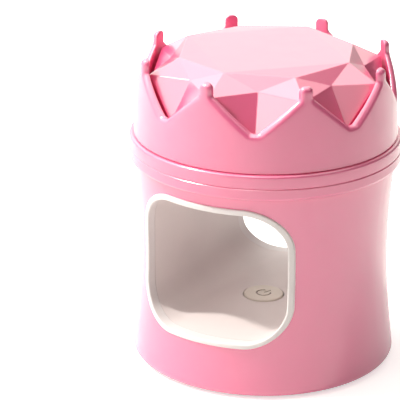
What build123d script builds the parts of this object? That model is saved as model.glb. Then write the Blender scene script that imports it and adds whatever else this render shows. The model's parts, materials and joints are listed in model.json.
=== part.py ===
from build123d import *
import math
import os

# A finger-sized nail lamp: a waisted casing with a tunnel through it, and a crown on top.
# Millimetres, +Z up, front opening towards -Y. The origin is at the centre of the footprint,
# on the surface that the lamp stands on.

# Casing: two arcs that meet at the waist, where the wall is upright
side_room = 14.1
waist_height = 36.0
base_flare = 2.5
base_height = 1.5
shoulder_flare = 1.6
head_room = 5.2
casing_wall = 2.0
casing_lift = 0.8
base_round = 1.5

# The two bands round the top of the casing
band_step = 1.6
lower_band_height = 3.6
upper_band_height = 4.0
band_round = 1.0
seam_chamfer = 0.3

# Snap joint between casing and collar ring
spigot_depth = 3.8
spigot_wall = 1.6
spigot_fit = 0.15
snap_bead = 0.35
snap_groove = 0.5
snap_width = 0.8

# Crown
spike_count = 8
crown_step = 1.1
crown_mid_lean = 0.6
crown_tip_lean = 1.4
crown_height = 24.7
crown_wall = 1.9
crown_mid_share = 0.45
crown_edge_round = 0.6
notch_height = 11.4
notch_round = 1.5
nub_width = 4.0
nub_height = 3.7
nub_round = 1.7
nub_neck_round = 1.2
crown_spigot_height = 3.3
crown_spigot_wall = 1.2

# Faceted cap inside the crown; the drops are measured down from its flat top
gem_proud = 0.1
gem_gap = 0.6
gem_wall = 1.8
star_inset = 7.0
table_inset = 1.9
table_dip = 0.6
star_drop = 4.0
rim_drop = 5.0
valley_drop = 15.0
deck_thickness = 2.2
deck_overlap = 2.6

# Tunnel
chamber_half = 22.7
chamber_low = 16.6
chamber_height = 39.8
chamber_round = 11.3
liner_wall = 1.6
liner_clearance = 0.3

# White rims of the openings
bezel_wall = 0.9
bezel_clearance = 0.1
lip_side = 1.7
lip_head = 1.8
lip_sill = 1.4
lip_proud = 0.6
lip_round = 0.4

# Base plate, its screws and the feet
plate_thickness = 2.0
plate_inset = 0.1
plate_clearance = 0.2
ledge_width = 2.2
ledge_thickness = 1.5
base_screw_x = 15.5
base_screw_y = 22.0
base_boss_radius = 3.0
base_screw_radius = 1.1
base_screw_head_radius = 2.1
base_screw_head_height = 1.2
base_screw_length = 9.0
pad_radius = 5.0
pad_edge = 3.1
pad_sink = 0.5
pad_clearance = 0.1
pad_count = 4

# Power button
button_radius = 6.0
button_proud = 0.4
button_clearance = 0.3
button_round = 0.5
button_travel = 0.5
flange_width = 1.0
flange_thickness = 1.2
flange_gap = 0.3
stem_radius = 2.4
stem_length = 2.3
symbol_radius = 2.1
symbol_stroke = 0.55
symbol_depth = 0.25
symbol_opening = 70.0
symbol_turn = -24.0
stroke_length = 2.7
stroke_rise = 1.5

# Switch under the button
board_thickness = 1.2
switch_board_length = 26.0
switch_board_width = 14.0
switch_post_x = 10.0
switch_post_radius = 2.2
tact_side = 6.0
tact_body_height = 3.5
plunger_radius = 1.75
plunger_height = 1.5
plunger_seat = 0.4
plunger_clearance = 0.1
plunger_room = 0.4

# Small screws that hold the boards
small_screw_radius = 0.8
small_screw_length = 3.4
small_head_radius = 1.6
small_head_height = 1.0
thread_clearance = 0.05
pass_clearance = 0.2

# Lamp board above the ceiling
led_board_margin = 3.5
led_board_thickness = 1.6
led_board_gap = 1.2
led_post_inset = 4.7
led_post_radius = 2.5
led_columns = 3
led_rows = 3
led_pitch_x = 9.5
led_pitch_y = 17.0
led_side = 3.5
led_base_height = 0.9
led_dome_radius = 1.6
led_dome_height = 1.2
led_hole_radius = 2.6

# Parts on the lamp board: width, depth, height, and the middle's place along Y
control_offset = 5.0
control_chip = (5.0, 6.0, 1.6, -8.0)
control_coil = (6.0, 6.0, 3.0, 1.0)
control_plug = (4.5, 7.6, 5.0, 0.0)
control_driver = (3.9, 5.0, 1.6, 9.0)
capacitor_radius = 2.5
capacitor_height = 5.4
capacitor_y = 9.0

# Battery
cell_width = 34.0
cell_height = 9.0
cell_clearance = 2.1
cell_round = 3.0
tape_thickness = 1.0
tape_margin = 2.0
tape_screw_clearance = 1.4

# Wires
lead_diameter = 1.2
lead_pitch = 4.4
lead_exit_share = 0.6
lead_edge = 1.2
lead_bend_share = 0.45
charge_lead_offset = 2.8
charge_lead_y = (10.2, 12.2)
switch_lead_y = (3.4, 5.4)
switch_lead_x = 11.6
guide_height = 2.4
guide_depth = 6.6
guide_width = 6.4
guide_drop = 3.0
guide_slot_inset = 2.1

# Charging socket and its board, to the left of the tunnel
port_angle = -67.0
port_drop = 11.15
slot_width = 11.0
slot_height = 5.7
slot_round = 1.8
socket_width = 8.94
socket_height = 3.26
socket_length = 6.5
socket_wall = 0.3
tongue_width = 6.7
tongue_thickness = 0.7
tongue_setback = 0.8
charge_board_back = -21.0
charge_board_front = 14.0
charge_board_gap = 0.4
bracket_reach = 7.0
bracket_width = 5.2
bracket_depth = 7.0
charge_screw_offset = 4.3
charge_screw_y = (-2.6, 7.0)
charge_chip = (4.0, 5.0, 1.5)
charge_capacitor = (1.2, 2.0, 0.9)
charge_capacitor_pitch = 6.6

# Heights and radii that follow from the sizes above
chamber_high = chamber_low + chamber_height
shoulder_height = chamber_high + head_room
waist_radius = chamber_half + side_room
base_radius = waist_radius + base_flare
shoulder_radius = waist_radius + shoulder_flare
band_radius = shoulder_radius + band_step
crown_foot_radius = band_radius - crown_step
crown_mid_radius = crown_foot_radius - crown_mid_lean
crown_tip_radius = crown_foot_radius - crown_tip_lean
plate_bottom = casing_lift + plate_inset
plate_top = plate_bottom + plate_thickness
band_seam = shoulder_height + lower_band_height
ring_top = band_seam + upper_band_height
crown_top = ring_top + crown_height
gem_top = crown_top + gem_proud
notch_bottom = ring_top + notch_height
floor_under = chamber_low - liner_wall
ceiling_top = chamber_high + liner_wall
chamber_middle = (chamber_low + chamber_high) / 2
lower_bend = ((waist_height - base_height) ** 2 + (base_radius - waist_radius) ** 2) / (
    2 * (base_radius - waist_radius)
)
upper_bend = ((shoulder_height - waist_height) ** 2 + (shoulder_radius - waist_radius) ** 2) / (
    2 * (shoulder_radius - waist_radius)
)
liner_side = chamber_half + liner_wall
liner_reach = waist_radius - casing_wall - liner_clearance
led_board_radius = liner_reach - led_board_margin
led_board_low = ceiling_top + led_board_gap
led_board_top = led_board_low + led_board_thickness
led_post_spread = chamber_half - led_post_inset
cell_low = led_board_top + tape_thickness
port_height = shoulder_height - port_drop
charge_board_top = port_height - socket_height / 2
charge_board_low = charge_board_top - board_thickness
charge_screw_x = -liner_side - charge_screw_offset
socket_mouth = liner_reach + bezel_clearance
flange_top = floor_under - flange_gap
flange_low = flange_top - flange_thickness
plunger_top = flange_low - stem_length
tact_top = plunger_top - plunger_height
switch_board_top = tact_top - tact_body_height
switch_board_low = switch_board_top - board_thickness
guide_low = chamber_middle - guide_drop - guide_height / 2
beyond = 2 * band_radius


def skin_radius(height, inset=0.0):
    """Radius of the casing's outer surface at a height, moved inwards by an inset."""
    bend = lower_bend if height < waist_height else upper_bend
    return waist_radius + bend - math.sqrt((bend + inset) ** 2 - (height - waist_height) ** 2)


def skin_arc(start, end, inset=0.0):
    """Arc of the casing's outline between two heights on the same side of the waist."""
    heights = (start, (start + end) / 2, end)
    return ThreePointArc(*[(skin_radius(h, inset), h) for h in heights])


bore_radius = skin_radius(band_seam - spigot_depth, casing_wall)
plate_radius = skin_radius(plate_top, casing_wall)
pad_circle = plate_radius - pad_edge - pad_radius
ledge_radius = plate_radius - ledge_width
ring_bore = bore_radius - spigot_fit


def turned(lines):
    """Solid of revolution from a closed outline of radius and height."""
    return revolve(Plane.XZ * make_face(lines), Axis.Z)


def disc(radius, low, high, x=0.0, y=0.0):
    """Upright cylinder between two heights."""
    return Pos(x, y, (low + high) / 2) * Cylinder(radius, high - low)


def block(width, depth, low, high, x=0.0, y=0.0):
    """Upright box between two heights, centred at x, y."""
    return Pos(x, y, (low + high) / 2) * Box(width, depth, high - low)


def ring_edges(solid, radius, height):
    """Circular edges of a turned solid at one radius and height."""
    return [
        edge
        for edge in solid.edges().filter_by(GeomType.CIRCLE)
        if abs(edge.radius - radius) < 0.01 and abs(edge.center().Z - height) < 0.01
    ]


def tunnel_bar(grow, left=0.0, low=0.0, high=0.0):
    """Bar along Y with the tunnel's section, grown all round, or by its own amount on each side."""
    side = grow + left
    bottom = chamber_low - grow - low
    top = chamber_high + grow + high
    section = RectangleRounded(2 * (chamber_half + side), top - bottom, chamber_round + side)
    return extrude(Plane.XZ * (Pos(0, (top + bottom) / 2) * section), beyond, both=True)


def casing_block(outset):
    """Solid inside the casing's outer surface moved outwards, over the height of the openings."""
    low = base_height
    high = shoulder_height
    lines = (
        Polyline((skin_radius(low, -outset), low), (0, low), (0, high), (skin_radius(high, -outset), high))
        + skin_arc(low, waist_height, -outset)
        + skin_arc(waist_height, high, -outset)
    )
    return turned(lines)


def port_plane(radius):
    """Plane across the charging port's axis, facing outwards, with its width level."""
    angle = math.radians(port_angle)
    outward = Vector(math.sin(angle), -math.cos(angle), 0)
    across = Vector(0, 0, 1).cross(outward)
    return Plane(origin=outward * radius + Vector(0, 0, port_height), x_dir=across, z_dir=outward)


def body_shell():
    """Waisted casing with its lower band, openings, charging slot and the ledge for the base plate."""
    slope_top = plate_top + ledge_thickness + ledge_width
    lines = (
        skin_arc(casing_lift, waist_height)
        + skin_arc(waist_height, shoulder_height)
        + Polyline(
            (shoulder_radius, shoulder_height),
            (band_radius, shoulder_height),
            (band_radius, band_seam),
            (bore_radius, band_seam),
            (bore_radius, band_seam - spigot_depth),
        )
        + skin_arc(band_seam - spigot_depth, waist_height, casing_wall)
        + skin_arc(waist_height, slope_top, casing_wall)
        + Polyline(
            (skin_radius(slope_top, casing_wall), slope_top),
            (ledge_radius, plate_top + ledge_thickness),
            (ledge_radius, plate_top),
            (plate_radius, plate_top),
            (plate_radius, casing_lift),
            (skin_radius(casing_lift), casing_lift),
        )
    )
    shell = turned(lines)
    shell = fillet(ring_edges(shell, skin_radius(casing_lift), casing_lift), base_round)
    shell = fillet(ring_edges(shell, band_radius, shoulder_height), band_round)
    shell = chamfer(ring_edges(shell, band_radius, band_seam), seam_chamfer)
    shell -= snap_ring(bore_radius + snap_groove, snap_width + 2 * snap_bead)
    shell -= tunnel_bar(bezel_wall + bezel_clearance)
    slot = extrude(port_plane(liner_reach) * RectangleRounded(slot_width, slot_height, slot_round), beyond)
    return shell - slot


def snap_ring(radius, width):
    """Flat ring at the snap joint's height."""
    middle = band_seam - spigot_depth / 2
    return disc(radius, middle - width / 2, middle + width / 2)


def collar_ring():
    """Upper band, with a snap spigot below, a spigot for the crown above and a deck for the cap."""
    deck_bottom = ring_top - deck_thickness
    crown_bore = crown_outline_radius(ring_top + crown_spigot_height) - crown_wall - spigot_fit
    lines = Polyline(
        (band_radius, band_seam),
        (band_radius, ring_top),
        (crown_bore, ring_top),
        (crown_bore, ring_top + crown_spigot_height),
        (crown_bore - crown_spigot_wall, ring_top + crown_spigot_height),
        (crown_bore - crown_spigot_wall, ring_top),
        (deck_radius(), ring_top),
        (deck_radius(), deck_bottom),
        (ring_bore - spigot_wall, deck_bottom),
        (ring_bore - spigot_wall, band_seam - spigot_depth + spigot_fit),
        (ring_bore, band_seam - spigot_depth + spigot_fit),
        (ring_bore, band_seam),
        close=True,
    )
    ring = turned(lines)
    ring = chamfer(ring_edges(ring, band_radius, band_seam), seam_chamfer)
    ring = fillet(ring_edges(ring, band_radius, ring_top), crown_edge_round)
    bead = snap_ring(ring_bore + snap_bead, snap_width) - snap_ring(ring_bore - spigot_wall / 2, snap_width)
    return ring + bead


def deck_radius():
    """Radius of the hole in the collar ring's deck, under the cap."""
    return gem_radius() - deck_overlap


def crown_outline_radius(height):
    """Outer radius of the crown wall at a height, on a curve through its foot, middle and tip."""
    rise = (height - ring_top) / crown_height
    middle = crown_mid_share
    foot_part = (rise - middle) * (rise - 1) / middle
    middle_part = rise * (rise - 1) / (middle * (middle - 1))
    tip_part = rise * (rise - middle) / (1 - middle)
    return crown_foot_radius * foot_part + crown_mid_radius * middle_part + crown_tip_radius * tip_part


def crown_arc(inset, start):
    """Arc of the crown's wall from a start above its foot up to its tip."""
    heights = (ring_top + start, ring_top + crown_mid_share * crown_height, crown_top)
    return ThreePointArc(*[(crown_outline_radius(h) - inset, h) for h in heights])


def spike_outline():
    """One spike with its nub, as wide as the distance between the bottoms of two notches."""
    half_angle = math.radians(180 / spike_count)
    valley = (crown_outline_radius(notch_bottom) - crown_wall) * math.sin(half_angle)
    half_nub = nub_width / 2
    shoulder = crown_top - nub_height
    slope = math.atan2(shoulder - notch_bottom, valley - half_nub)
    toe = valley - notch_round * math.tan(slope / 2)
    points = [
        (band_radius, band_seam),
        (band_radius, notch_bottom),
        (toe, notch_bottom),
        (half_nub, shoulder),
        (half_nub, crown_top),
    ]
    points += [(-s, h) for s, h in reversed(points)]
    radii = [0, 0, notch_round, nub_neck_round, nub_round]
    radii += list(reversed(radii))
    return make_face(FilletPolyline(*points, radius=radii, close=True))


def crown_shell():
    """Ring wall cut into spikes, made as one sector and turned round the axis."""
    step = 360 / spike_count
    lines = (
        crown_arc(0, seam_chamfer)
        + crown_arc(crown_wall, 0)
        + Polyline(
            (crown_foot_radius - crown_wall, ring_top),
            (crown_foot_radius - seam_chamfer, ring_top),
            (crown_outline_radius(ring_top + seam_chamfer), ring_top + seam_chamfer),
        )
        + Line((crown_tip_radius - crown_wall, crown_top), (crown_tip_radius, crown_top))
    )
    wall = Rot(0, 0, -90 - step / 2) * revolve(Plane.XZ * make_face(lines), Axis.Z, revolution_arc=step)
    sector = wall & extrude(Plane.XZ * spike_outline(), beyond)
    crown = (Part() + [Rot(0, 0, step * k) * sector for k in range(spike_count)]).clean()
    notched = [edge for edge in crown.edges() if (edge @ 0.5).Z > notch_bottom - 0.01 and along_wall(edge)]
    return fillet(notched, crown_edge_round)


def along_wall(edge):
    """True for an edge that runs along the crown's outer or inner surface."""
    depths = [crown_outline_radius(p.Z) - math.hypot(p.X, p.Y) for p in (edge @ 0, edge @ 0.5, edge @ 1)]
    return any(all(abs(depth - inset) < 0.02 for depth in depths) for inset in (0, crown_wall))


def gem_radius():
    """Radius of the cap's outer corners, a gap inside the crown's wall."""
    return crown_outline_radius(gem_top - rim_drop) - crown_wall - gem_gap


def gem_point(step, radius, height):
    """Point on the cap, in half spike steps round from the front."""
    angle = math.radians(180 / spike_count * step)
    return Vector(radius * math.sin(angle), -radius * math.cos(angle), height)


def gem_block(inset, bottom):
    """Faceted block: a flat table, a star of facets round it and upright sides."""
    rim = gem_radius() - inset
    star_radius = rim - star_inset
    table_radius = star_radius - table_inset
    top = gem_top - inset
    table = {}
    star = {}
    corner = {}
    for k in range(spike_count):
        dip = table_dip if k % 2 else 0
        table[k] = gem_point(2 * k, table_radius, top - dip)
        star[k] = gem_point(2 * k + 1, star_radius, top - star_drop)
        corner[2 * k] = gem_point(2 * k, rim, top - rim_drop)
        corner[2 * k + 1] = gem_point(2 * k + 1, rim, top - valley_drop)
    foot = {step: Vector(point.X, point.Y, bottom) for step, point in corner.items()}
    around = 2 * spike_count
    loops = [[table[k] for k in range(0, spike_count, 2)], [foot[s] for s in range(around)]]
    for k in range(spike_count):
        after = (k + 1) % spike_count
        loops.append([table[k], table[after], star[k]])
        loops.append([table[k], star[k], corner[2 * k]])
        loops.append([table[after], corner[2 * after], star[k]])
        loops.append([corner[2 * k], star[k], corner[2 * k + 1]])
        loops.append([star[k], corner[2 * after], corner[2 * k + 1]])
        if k % 2:
            loops.append([table[k - 1], table[k], table[after]])
    for s in range(around):
        after = (s + 1) % around
        loops.append([corner[s], corner[after], foot[after], foot[s]])
    faces = [Face(Wire.make_polygon(loop, close=True)) for loop in loops]
    return Solid(Shell(faces))


def gem_cap():
    """Hollow faceted cap that stands on the collar ring's deck."""
    return Part() + gem_block(0, ring_top) - gem_block(gem_wall, ring_top - 1)


def chamber_liner():
    """White tunnel with its bosses, posts and brackets, cut to the shape of the casing inside."""
    liner = tunnel_bar(liner_wall)
    for x in (-base_screw_x, base_screw_x):
        for y in (-base_screw_y, base_screw_y):
            boss = disc(base_boss_radius, plate_top, chamber_middle, x, y)
            bore = disc(base_screw_radius + thread_clearance, plate_top, plate_top + base_screw_length, x, y)
            liner += boss - bore
    for x, y in led_posts():
        liner += disc(led_post_radius, chamber_middle, led_board_low, x, y)
    for y in charge_screw_y:
        liner += block(bracket_reach, bracket_width, charge_board_low - bracket_depth, charge_board_low,
                       -liner_side - (bracket_reach - liner_wall) / 2, y)
    liner += wire_guide()
    liner -= tunnel_bar(0)
    liner &= disc(liner_reach, plate_top, led_board_low)
    thread = small_screw_radius + thread_clearance
    for x, y in led_posts():
        liner -= disc(thread, led_board_top - small_screw_length, led_board_low, x, y)
    for y in charge_screw_y:
        liner -= disc(thread, charge_board_top - small_screw_length, charge_board_low, charge_screw_x, y)
    for x, y in led_places():
        liner -= disc(led_hole_radius, chamber_middle, ceiling_top, x, y)
    return liner - disc(button_radius + button_clearance, plate_top, chamber_middle)


def bezel(side):
    """Rim of one opening: a collar through the casing and a lip that lies on its outside."""
    hollow = tunnel_bar(0)
    lip = tunnel_bar(0, lip_side, lip_sill, lip_head) - hollow
    lip &= casing_block(lip_proud) - casing_block(0)
    collar = tunnel_bar(bezel_wall) - hollow
    collar &= casing_block(lip_proud) - disc(liner_reach + bezel_clearance, 0, band_seam)
    rim = (lip + collar) & block(beyond, band_radius, 0, band_seam, 0, side * band_radius / 2)
    return fillet([edge for edge in rim.edges() if along_lip(edge)], lip_round)


def along_lip(edge):
    """True for an edge that runs along the outer surface of a rim's lip."""
    depths = [skin_radius(p.Z, -lip_proud) - math.hypot(p.X, p.Y) for p in (edge @ 0, edge @ 0.5)]
    return all(abs(depth) < 0.01 for depth in depths)


def base_plate():
    """Bottom cover with screw holes, pockets for the feet and posts for the switch board."""
    plate = disc(plate_radius - plate_clearance, plate_bottom, plate_top)
    for x in (-base_screw_x, base_screw_x):
        for y in (-base_screw_y, base_screw_y):
            plate -= disc(base_screw_radius + pass_clearance, plate_bottom, plate_top, x, y)
            plate -= disc(base_screw_head_radius + pass_clearance, plate_bottom,
                          plate_bottom + base_screw_head_height, x, y)
    for x, y in pad_places():
        plate -= disc(pad_radius + pad_clearance, plate_bottom, plate_bottom + pad_sink, x, y)
    for x in (-switch_post_x, switch_post_x):
        plate += disc(switch_post_radius, plate_top, switch_board_low, x)
        plate -= disc(small_screw_radius + thread_clearance, switch_board_top - small_screw_length,
                      switch_board_low, x)
    return plate


def pad_places():
    """Centres of the feet, on the axes."""
    angles = [2 * math.pi * k / pad_count for k in range(pad_count)]
    return [(pad_circle * math.sin(a), -pad_circle * math.cos(a)) for a in angles]


def foot_pads():
    """Round rubber feet in the base plate's pockets."""
    pads = Part()
    for x, y in pad_places():
        pad = disc(pad_radius, 0, plate_bottom + pad_sink, x, y)
        pads += fillet(ring_edges(pad, pad_radius, 0), pad_sink / 2)
    return pads


def screw(radius, length, head_radius, head_height):
    """Pan-head screw pointing down, with the underside of its head at the origin."""
    head = fillet(ring_edges(disc(head_radius, 0, head_height), head_radius, head_height), head_height / 3)
    arm = head_radius
    slot = head_height / 2
    cross = block(arm, arm / 4, head_height - slot, head_height)
    cross += block(arm / 4, arm, head_height - slot, head_height)
    return head - cross + disc(radius, -length, 0)


def base_screws():
    """Four screws up through the base plate into the tunnel's bosses."""
    fastener = Rot(180, 0, 0) * screw(
        base_screw_radius, base_screw_length, base_screw_head_radius, base_screw_head_height
    )
    seat = plate_bottom + base_screw_head_height
    return Part() + [
        Pos(x, y, seat) * fastener
        for x in (-base_screw_x, base_screw_x)
        for y in (-base_screw_y, base_screw_y)
    ]


def small_screws(places, seat):
    """Board screws at the given places, with their heads on the board."""
    fastener = screw(small_screw_radius, small_screw_length, small_head_radius, small_head_height)
    return Part() + [Pos(x, y, seat) * fastener for x, y in places]


def power_symbol():
    """Broken ring with an upright stroke, cut into the button's top."""
    ring = Circle(symbol_radius + symbol_stroke / 2) - Circle(symbol_radius - symbol_stroke / 2)
    reach = 2 * symbol_radius
    side = reach * math.tan(math.radians(symbol_opening / 2))
    gap = make_face(Polyline((0, 0), (-side, reach), (side, reach), close=True))
    stroke = Pos(0, stroke_rise) * SlotOverall(stroke_length, symbol_stroke, rotation=90)
    return Rot(0, 0, symbol_turn) * (ring - gap + stroke)


def power_button():
    """Round push button with a flange under the floor and a stem down to the switch."""
    top = chamber_low + button_proud
    button = disc(button_radius, flange_low, top)
    button = fillet(ring_edges(button, button_radius, top), button_round)
    button += disc(button_radius + button_clearance + flange_width, flange_low, flange_top)
    button += disc(stem_radius, plunger_top, flange_low)
    return button - extrude(Pos(0, 0, top - symbol_depth) * power_symbol(), symbol_depth)


def switch_plunger():
    """Plunger of the switch, which moves down with the button."""
    return disc(plunger_radius, tact_top - plunger_seat, plunger_top)


def tact_switch():
    """Body of the push switch, with room for the plunger to move down into it."""
    body = block(tact_side, tact_side, switch_board_top, tact_top)
    floor = tact_top - plunger_seat - button_travel - plunger_room
    return body - disc(plunger_radius + plunger_clearance, floor, tact_top)


def switch_board():
    """Small board under the button, on two posts."""
    board = block(switch_board_length, switch_board_width, switch_board_low, switch_board_top)
    for x in (-switch_post_x, switch_post_x):
        board -= disc(small_screw_radius + pass_clearance, switch_board_low, switch_board_top, x)
    return board


def led_posts():
    """Centres of the four posts that carry the lamp board."""
    return [(x, y) for x in (-led_post_spread, led_post_spread) for y in (-led_post_spread, led_post_spread)]


def led_places():
    """Centres of the lamp chips, in rows along the tunnel."""
    return [
        ((c - (led_columns - 1) / 2) * led_pitch_x, (r - (led_rows - 1) / 2) * led_pitch_y)
        for c in range(led_columns)
        for r in range(led_rows)
    ]


def led_board():
    """Round board above the tunnel's ceiling."""
    board = disc(led_board_radius, led_board_low, led_board_top)
    for x, y in led_posts():
        board -= disc(small_screw_radius + pass_clearance, led_board_low, led_board_top, x, y)
    return board


def led_chips():
    """Lamp chips under the board, each a square base with a round lens."""
    chips = Part()
    for x, y in led_places():
        low = led_board_low - led_base_height
        chips += block(led_side, led_side, low, led_board_low, x, y)
        chips += disc(led_dome_radius, low - led_dome_height, low, x, y)
    return chips


def battery_tape():
    """Foam tape between the lamp board and the battery, clear of the board's screws."""
    width = 2 * (led_post_spread - small_head_radius - tape_screw_clearance)
    return block(width, cell_length() - 2 * tape_margin, led_board_top, cell_low)


def cell_length():
    """Length of the cell whose corners clear the hole in the deck."""
    corner = deck_radius() - cell_clearance
    return 2 * math.sqrt(corner**2 - (cell_width / 2) ** 2)


def battery_cell():
    """Flat rechargeable cell with rounded long edges."""
    cell = block(cell_width, cell_length(), cell_low, cell_low + cell_height)
    return fillet(cell.edges().filter_by(Axis.Y), cell_round)


def lead(points):
    """Insulated wire along straight runs joined by tangent arcs."""
    points = [Vector(*point) for point in points]
    radii = []
    for before, corner, after in zip(points, points[1:], points[2:]):
        turn = math.radians((corner - before).get_angle(after - corner))
        shorter = min((corner - before).length, (after - corner).length)
        radii.append(lead_bend_share * shorter / math.tan(turn / 2))
    path = FilletPolyline(*points, radius=radii) if radii else Line(*points)
    section = Plane(origin=path @ 0, z_dir=path % 0) * Circle(lead_diameter / 2)
    wire = sweep(section, path=path)
    length = path.length
    print("wire", round(length, 1), "mm long, volume over section times length",
          round(wire.volume / (section.area * length), 3), "bends", [round(r, 1) for r in radii])
    return wire


def battery_leads():
    """Two wires from the end of the cell down to the lamp board."""
    wires = Part()
    level = cell_low + cell_height * lead_exit_share
    end = cell_length() / 2
    out = led_board_radius - lead_edge
    for x in (-lead_pitch / 2, lead_pitch / 2):
        wires += lead([(x, end, level), (x, out, level), (x, out, led_board_top)])
    return wires


def charge_leads():
    """Two wires from the charging board up to the lamp board."""
    x = -liner_side - charge_lead_offset
    wires = Part()
    for y in charge_lead_y:
        wires += lead([(x, y, charge_board_top), (x, y, led_board_low)])
    return wires


def switch_leads():
    """Two wires from the switch board, out beside the tunnel and up to the lamp board."""
    route = [
        (switch_lead_x, switch_board_top),
        (switch_lead_x, switch_board_top + 3.2),
        (switch_lead_x + 4.4, switch_board_top + 5.2),
        (liner_side - 1.7, switch_board_top + 3.8),
        (liner_side + 3.6, switch_board_top + 7.4),
        (liner_side + 4.4, switch_board_top + 16.0),
        (liner_side + 3.2, chamber_middle - guide_drop),
        (liner_side + 4.2, chamber_middle + 10.0),
        (liner_side + 4.0, led_board_low),
    ]
    wires = Part()
    for y in switch_lead_y:
        wires += lead([(x, y, z) for x, z in route])
    return wires


def wire_guide():
    """Slotted fin on the tunnel's right wall that holds the switch wires."""
    top = guide_low + guide_height
    middle = sum(switch_lead_y) / len(switch_lead_y)
    x = liner_side + (guide_depth - liner_wall) / 2
    fin = block(guide_depth, guide_width, guide_low, top, x, middle)
    x = liner_side + guide_slot_inset + guide_depth / 2
    for y in switch_lead_y:
        fin -= block(guide_depth, lead_diameter + pass_clearance, guide_low, top, x, y)
    return fin


def charge_board():
    """Board segment beside the tunnel, with its outer edge round like the casing."""
    depth = charge_board_front - charge_board_back
    x = -liner_side - charge_board_gap - liner_reach / 2
    y = (charge_board_front + charge_board_back) / 2
    board = block(liner_reach, depth, charge_board_low, charge_board_top, x, y)
    board &= disc(liner_reach, charge_board_low, charge_board_top)
    hole = small_screw_radius + pass_clearance
    for y in charge_screw_y:
        board -= disc(hole, charge_board_low, charge_board_top, charge_screw_x, y)
    return board


def charge_components():
    """Charging chip and two capacitors on the charging board."""
    y = sum(charge_screw_y) / len(charge_screw_y)
    parts = Part() + on_board(charge_chip, charge_board_top, charge_screw_x, y)
    for x in (-charge_capacitor_pitch / 2, charge_capacitor_pitch / 2):
        parts += on_board(charge_capacitor, charge_board_top, charge_screw_x + x, y)
    return parts


def on_board(size, top, x, y):
    """Square-edged electronic part, seated on a board's top."""
    width, depth, height = size[:3]
    return block(width, depth, top, top + height, x, y)


def usb_socket():
    """Folded metal shell of the socket, open outwards and closed at the back."""
    outer = SlotOverall(socket_width, socket_height)
    inner = SlotOverall(socket_width - 2 * socket_wall, socket_height - 2 * socket_wall)
    back = socket_mouth - socket_length
    return extrude(port_plane(back) * outer, socket_length) - extrude(
        port_plane(back + socket_wall) * inner, socket_length
    )


def usb_tongue():
    """Contact tongue in the middle of the socket."""
    back = socket_mouth - socket_length + socket_wall
    reach = socket_mouth - tongue_setback - back
    return extrude(port_plane(back) * Rectangle(tongue_width, tongue_thickness), reach)


def control_components():
    """Control chip, coil, capacitor and plug block on the lamp board, beside the battery."""
    x = cell_width / 2 + control_offset
    parts = Part() + disc(capacitor_radius, led_board_top, led_board_top + capacitor_height, x, capacitor_y)
    for size, place in ((control_chip, x), (control_coil, x), (control_plug, -x), (control_driver, -x)):
        parts += on_board(size, led_board_top, place, size[3])
    return parts


def all_parts():
    """Every piece by name."""
    return {
        "body_shell": body_shell(),
        "collar_ring": collar_ring(),
        "crown_shell": crown_shell(),
        "gem_cap": gem_cap(),
        "chamber_liner": chamber_liner(),
        "front_bezel": bezel(-1),
        "rear_bezel": bezel(1),
        "base_plate": base_plate(),
        "base_screws": base_screws(),
        "foot_pads": foot_pads(),
        "power_button": power_button(),
        "switch_plunger": switch_plunger(),
        "tact_switch": tact_switch(),
        "switch_board": switch_board(),
        "switch_board_screws": small_screws([(-switch_post_x, 0), (switch_post_x, 0)], switch_board_top),
        "switch_leads": switch_leads(),
        "led_board": led_board(),
        "led_chips": led_chips(),
        "led_board_screws": small_screws(led_posts(), led_board_top),
        "control_components": control_components(),
        "battery_tape": battery_tape(),
        "battery_cell": battery_cell(),
        "battery_leads": battery_leads(),
        "charge_board": charge_board(),
        "charge_components": charge_components(),
        "charge_board_screws": small_screws([(charge_screw_x, y) for y in charge_screw_y], charge_board_top),
        "charge_leads": charge_leads(),
        "usb_socket": usb_socket(),
        "usb_tongue": usb_tongue(),
    }


os.makedirs("parts", exist_ok=True)
for name, solid in all_parts().items():
    export_step(solid, f"parts/{name}.step")
    print(name, round(solid.volume, 1))
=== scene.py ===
# %% [markdown]
# A finger-sized nail lamp
#
# The real lamp is a waisted pink casing with a white tunnel through it, two pink bands, a crown of
# eight spikes and a pale faceted cap. The mechanical model of it comes in as a fixed frame, and this
# file gives every piece its finish. Where a piece is seen close to, or follows a rule that is worth
# learning, it is modelled again here, on the same sizes, and stands in for the plain solid.

# %% Load the frame
import json
import math

import bmesh
import bpy
from mathutils import Matrix, Vector
from mathutils.geometry import delaunay_2d_cdt


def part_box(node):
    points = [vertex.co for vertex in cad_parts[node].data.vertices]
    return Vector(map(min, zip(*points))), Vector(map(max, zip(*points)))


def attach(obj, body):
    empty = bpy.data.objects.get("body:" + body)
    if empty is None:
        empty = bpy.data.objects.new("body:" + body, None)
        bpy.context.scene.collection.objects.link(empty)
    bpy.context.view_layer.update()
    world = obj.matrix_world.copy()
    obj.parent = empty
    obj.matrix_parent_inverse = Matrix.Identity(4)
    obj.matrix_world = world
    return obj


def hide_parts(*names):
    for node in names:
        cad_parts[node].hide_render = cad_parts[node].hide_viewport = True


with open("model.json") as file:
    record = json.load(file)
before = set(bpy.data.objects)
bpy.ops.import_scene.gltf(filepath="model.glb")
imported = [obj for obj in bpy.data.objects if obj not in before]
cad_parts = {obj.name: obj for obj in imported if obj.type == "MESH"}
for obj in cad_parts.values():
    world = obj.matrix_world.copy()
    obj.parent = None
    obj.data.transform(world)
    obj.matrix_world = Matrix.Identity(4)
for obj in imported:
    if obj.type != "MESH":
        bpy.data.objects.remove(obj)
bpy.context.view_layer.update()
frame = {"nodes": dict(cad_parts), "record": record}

MM = 0.001
nodes = frame["nodes"]
print("pieces in the frame:", len(nodes))

# %% [markdown]
# Colour
#
# Screen colours are written as three numbers up to 255, but shaders count in linear light. One small
# function turns the first into the second, so that every colour below can be written as it looks.


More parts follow.
